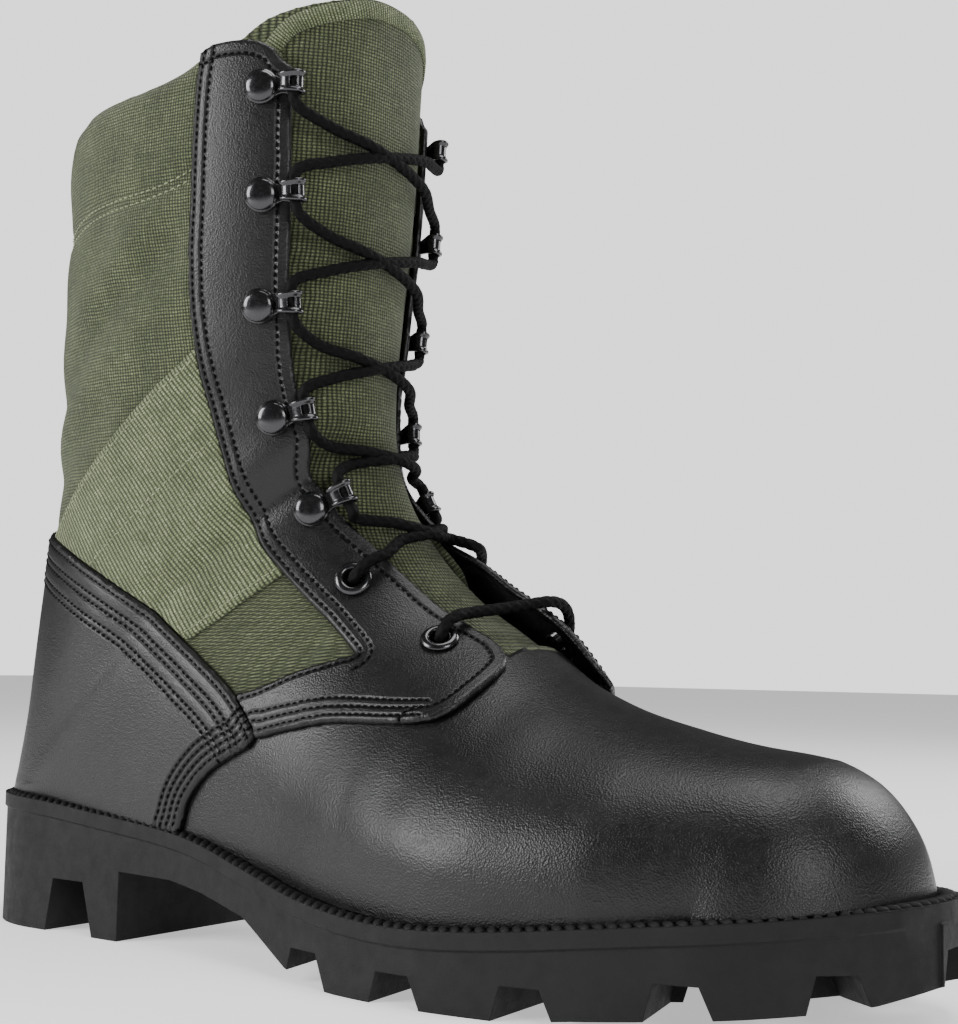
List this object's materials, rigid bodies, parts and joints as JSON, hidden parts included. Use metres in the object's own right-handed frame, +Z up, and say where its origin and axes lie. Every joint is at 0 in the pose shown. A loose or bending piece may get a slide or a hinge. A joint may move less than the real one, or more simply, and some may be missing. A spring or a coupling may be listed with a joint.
{
  "type": "jungle boot",
  "caption": "Tall lace-up boot for the right foot with a leather vamp and heel cover, a canvas shaft, speed hooks and a lugged rubber sole.",
  "frame": {"origin": "on the floor, under the middle of the boot's length and width", "axes": "+X from heel to toe, +Z up, the outer side of the foot at -Y"},
  "size_m": [0.313, 0.1086, 0.2841],
  "materials": {
    "leather": "smooth finished leather with a soft sheen",
    "canvas": "matte plain-weave cotton and nylon canvas",
    "webbing": "ribbed woven tape",
    "rubber": "matte moulded rubber",
    "metal": "gloss black enamel",
    "cord": "round braided cord",
    "board": "matte footbed cloth"
  },
  "bodies": {
    "root": {"outsole": "rubber", "insole": "board", "upper": "canvas", "counter": "leather", "tongue": "canvas", "eyestay_outer": "leather", "webbing_outer": "webbing", "hook_outer_1": "metal", "hook_outer_2": "metal", "hook_outer_3": "metal", "hook_outer_4": "metal", "hook_outer_5": "metal", "eyelet_outer_1": "metal", "eyelet_outer_2": "metal", "eyestay_inner": "leather", "webbing_inner": "webbing", "hook_inner_1": "metal", "hook_inner_2": "metal", "hook_inner_3": "metal", "hook_inner_4": "metal", "hook_inner_5": "metal", "eyelet_inner_1": "metal", "eyelet_inner_2": "metal", "lace_crossing_1": "cord", "lace_crossing_2": "cord", "lace_crossing_3": "cord", "lace_crossing_4": "cord", "lace_crossing_5": "cord", "lace_bar": "cord"}
  },
  "joints": []
}
